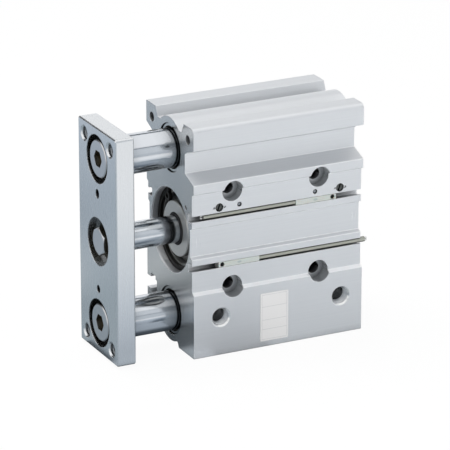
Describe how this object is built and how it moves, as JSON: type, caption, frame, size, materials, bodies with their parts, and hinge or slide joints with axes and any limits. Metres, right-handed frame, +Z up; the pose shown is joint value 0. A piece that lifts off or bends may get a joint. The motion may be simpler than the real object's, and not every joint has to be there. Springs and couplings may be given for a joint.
{
  "type": "guided pneumatic cylinder",
  "caption": "Compact air cylinder with a guided rectangular tool plate, air cushions, switch grooves and T-slots in an extruded body.",
  "frame": {"origin": "centre of the four mounting threads, on the mounting face", "axes": "+X towards the rear end, against the plate's outward stroke; +Y out of the mounting face, away from the ports; +Z up, along the row of rods, towards the recessed shoulder"},
  "size_m": [0.1376, 0.0541, 0.12],
  "materials": {
    "anodised_aluminium": "clear anodised, fine satin",
    "turned_aluminium": "turned and clear anodised",
    "nickel_plated_steel": "nickel plated, satin",
    "hard_chrome": "hard chromed and ground",
    "zinc_plated_steel": "bright zinc plated",
    "spring_steel": "phosphated",
    "bearing_steel": "polished",
    "sintered_bronze": "sintered, oil soaked",
    "nitrile_rubber": "moulded, matt",
    "magnetic_rubber": "moulded, matt",
    "bearing_plastic": "moulded",
    "oiled_felt": "dense wool felt",
    "pressed_steel": "pressed",
    "switch_housing": "moulded",
    "lead_sheath": "oil-proof cable sheath",
    "printed_foil": "blank adhesive foil"
  },
  "bodies": {
    "body": {"cylinder_body": "anodised_aluminium", "rod_cover": "turned_aluminium", "head_cover": "turned_aluminium", "rod_cover_ring": "spring_steel", "head_cover_ring": "spring_steel", "rod_cover_o_rings": "nitrile_rubber", "head_cover_o_rings": "nitrile_rubber", "rod_wiper": "nitrile_rubber", "rod_seal": "nitrile_rubber", "front_cushion_seal": "nitrile_rubber", "rear_cushion_seal": "nitrile_rubber", "upper_front_bush": "sintered_bronze", "lower_front_bush": "sintered_bronze", "upper_rear_bush": "sintered_bronze", "lower_rear_bush": "sintered_bronze", "upper_felt_ring": "oiled_felt", "lower_felt_ring": "oiled_felt", "upper_felt_holder": "pressed_steel", "lower_felt_holder": "pressed_steel", "ball_plugs": "bearing_steel", "type_plate": "printed_foil", "upper_switch": "switch_housing", "lower_switch": "switch_housing", "upper_switch_screw": "zinc_plated_steel", "lower_switch_screw": "zinc_plated_steel", "upper_lead": "lead_sheath", "lower_lead": "lead_sheath"},
    "carriage": {"tool_plate": "nickel_plated_steel", "upper_guide_rod": "hard_chrome", "lower_guide_rod": "hard_chrome", "piston_rod": "hard_chrome", "upper_rod_bolt": "zinc_plated_steel", "lower_rod_bolt": "zinc_plated_steel", "centre_bolt": "zinc_plated_steel", "piston": "turned_aluminium", "piston_gasket": "nitrile_rubber", "piston_seal": "nitrile_rubber", "wear_ring": "bearing_plastic", "piston_magnet": "magnetic_rubber", "front_cushion_ring": "turned_aluminium", "cushion_nut": "zinc_plated_steel"},
    "front_needle_screw": {"front_needle": "zinc_plated_steel", "front_needle_o_ring": "nitrile_rubber"},
    "rear_needle_screw": {"rear_needle": "zinc_plated_steel", "rear_needle_o_ring": "nitrile_rubber"}
  },
  "joints": [
    {"name": "stroke", "type": "slide", "parent": "body", "child": "carriage", "axis": [-1, 0, 0], "range_m": [-0.0174, 0.0076]},
    {"name": "front_needle_turn", "type": "hinge", "parent": "body", "child": "front_needle_screw", "pos_m": [-0.031, -0.052, 0.0172], "axis": [0, -1, 0], "range_deg": [-540, 432]},
    {"name": "rear_needle_turn", "type": "hinge", "parent": "body", "child": "rear_needle_screw", "pos_m": [0.036, -0.052, 0.0172], "axis": [0, -1, 0], "range_deg": [-540, 432]}
  ]
}
